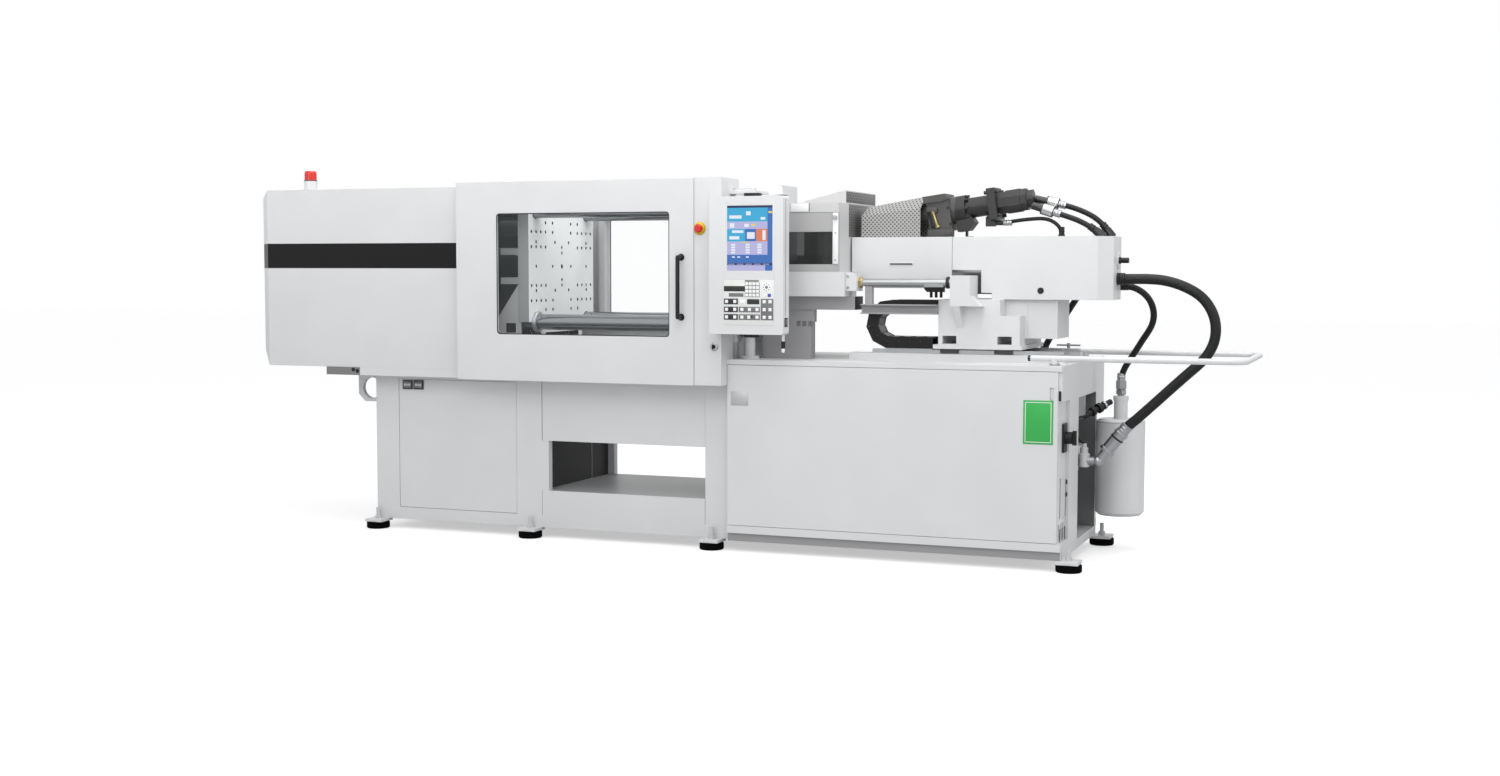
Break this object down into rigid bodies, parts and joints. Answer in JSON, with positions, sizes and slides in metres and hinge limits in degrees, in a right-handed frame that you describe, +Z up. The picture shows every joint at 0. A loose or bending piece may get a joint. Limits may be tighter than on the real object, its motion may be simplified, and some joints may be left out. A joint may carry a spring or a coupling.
{
  "type": "injection moulding machine",
  "caption": "Horizontal injection moulding machine with a covered hydraulic clamp, sliding window door, swivel control panel and a tilted screw unit over the injection cylinder.",
  "frame": {"origin": "on the floor, below the middle of the overall length and depth", "axes": "+X along the machine towards the injection unit, +Y from the operator side to the rear, +Z up"},
  "size_m": [5.154, 1.256, 1.884],
  "materials": {
    "white_paint": "semi-gloss light grey-white powder coat",
    "grey_paint": "satin mid grey paint",
    "dark_paint": "satin dark grey paint on cast and machined blocks",
    "bright_steel": "machined steel",
    "chrome_bar": "ground and plated bars",
    "clear_pane": "clear safety pane",
    "tinted_pane": "smoke-tinted pane",
    "screen_glass": "lit display behind a gloss face",
    "key_plastic": "matt moulded keys",
    "black_plastic": "matt black moulding",
    "red_plastic": "gloss red moulding",
    "foot_rubber": "matt black rubber",
    "hose_rubber": "matt black hose rubber"
  },
  "bodies": {
    "machine": {"base_frame": "white_paint", "chute_tray": "white_paint", "left_base_panels": "white_paint", "machine_bed": "white_paint", "cabinet_panels": "white_paint", "foot_pads": "foot_rubber", "levelling_screws": "bright_steel", "clamp_bed": "white_paint", "clamp_cover": "white_paint", "signal_lamp": "red_plastic", "fixed_platen": "bright_steel", "clamp_cylinder": "white_paint", "tie_bars": "chrome_bar", "door_tracks": "white_paint", "operator_column": "white_paint", "rear_column": "white_paint", "shot_counters": "black_plastic", "panel_post": "bright_steel", "slide_rails": "bright_steel", "nozzle_guard": "white_paint", "purge_skirt": "white_paint", "injection_pedestal": "grey_paint", "cylinder_anchor": "white_paint", "accumulator": "white_paint", "oil_tank": "grey_paint", "filter_unit": "white_paint", "guard_rail": "white_paint", "hose_fittings": "bright_steel", "drag_chain": "black_plastic", "main_hose": "hose_rubber", "return_hose": "hose_rubber", "rear_hose": "hose_rubber"},
    "operator_door": {"operator_door": "white_paint", "operator_window": "clear_pane", "operator_handle": "black_plastic"},
    "rear_door": {"rear_door": "white_paint", "rear_window": "clear_pane"},
    "purge_door": {"purge_door": "grey_paint", "purge_window": "tinted_pane"},
    "moving_platen": {"moving_platen": "bright_steel"},
    "control_panel": {"control_panel": "white_paint", "panel_screen": "screen_glass", "panel_keypad": "key_plastic"},
    "e_stop_button": {"e_stop_button": "red_plastic"},
    "key_switch": {"key_switch": "bright_steel"},
    "main_switch_knob": {"main_switch_knob": "black_plastic"},
    "t_handle": {"t_handle": "bright_steel"},
    "carriage": {"saddle": "white_paint", "guide_blocks": "dark_paint", "beam_covers": "white_paint", "injection_barrel": "bright_steel", "carriage_barrel": "chrome_bar", "chain_tray": "grey_paint", "barrel_guard": "grey_paint", "plasticizer": "dark_paint", "screw_motor": "dark_paint", "valve_box": "white_paint", "motor_hose_a": "hose_rubber", "motor_hose_b": "hose_rubber", "drain_hose": "hose_rubber"}
  },
  "joints": [
    {"name": "operator_door_slide", "type": "slide", "parent": "machine", "child": "operator_door", "axis": [-1, 0, 0], "range_m": [0, 1]},
    {"name": "rear_door_slide", "type": "slide", "parent": "machine", "child": "rear_door", "axis": [-1, 0, 0], "range_m": [0, 1]},
    {"name": "purge_door_slide", "type": "slide", "parent": "machine", "child": "purge_door", "axis": [1, 0, 0], "range_m": [0, 0.33]},
    {"name": "clamp_stroke", "type": "slide", "parent": "machine", "child": "moving_platen", "axis": [1, 0, 0], "range_m": [0, 0.45]},
    {"name": "panel_swing", "type": "hinge", "parent": "machine", "child": "control_panel", "pos_m": [0.224, -0.33, 1.38], "axis": [0, 0, 1], "range_deg": [0, 30]},
    {"name": "e_stop_press", "type": "slide", "parent": "machine", "child": "e_stop_button", "axis": [0, 1, 0], "range_m": [0, 0.006]},
    {"name": "key_turn", "type": "hinge", "parent": "machine", "child": "key_switch", "pos_m": [0.12, -0.534, 0.995], "axis": [0, 1, 0], "range_deg": [0, 90]},
    {"name": "main_switch_turn", "type": "hinge", "parent": "machine", "child": "main_switch_knob", "pos_m": [1.762, -0.332, 0.6], "axis": [1, 0, 0], "range_deg": [0, 90]},
    {"name": "t_handle_turn", "type": "hinge", "parent": "machine", "child": "t_handle", "pos_m": [1.655, 0.32, 0.932], "axis": [0, 0, 1], "range_deg": [0, 90]},
    {"name": "carriage_slide", "type": "slide", "parent": "machine", "child": "carriage", "axis": [1, 0, 0], "range_m": [0, 0.2], "deforming": ["drag_chain", "main_hose", "return_hose", "rear_hose"]}
  ]
}
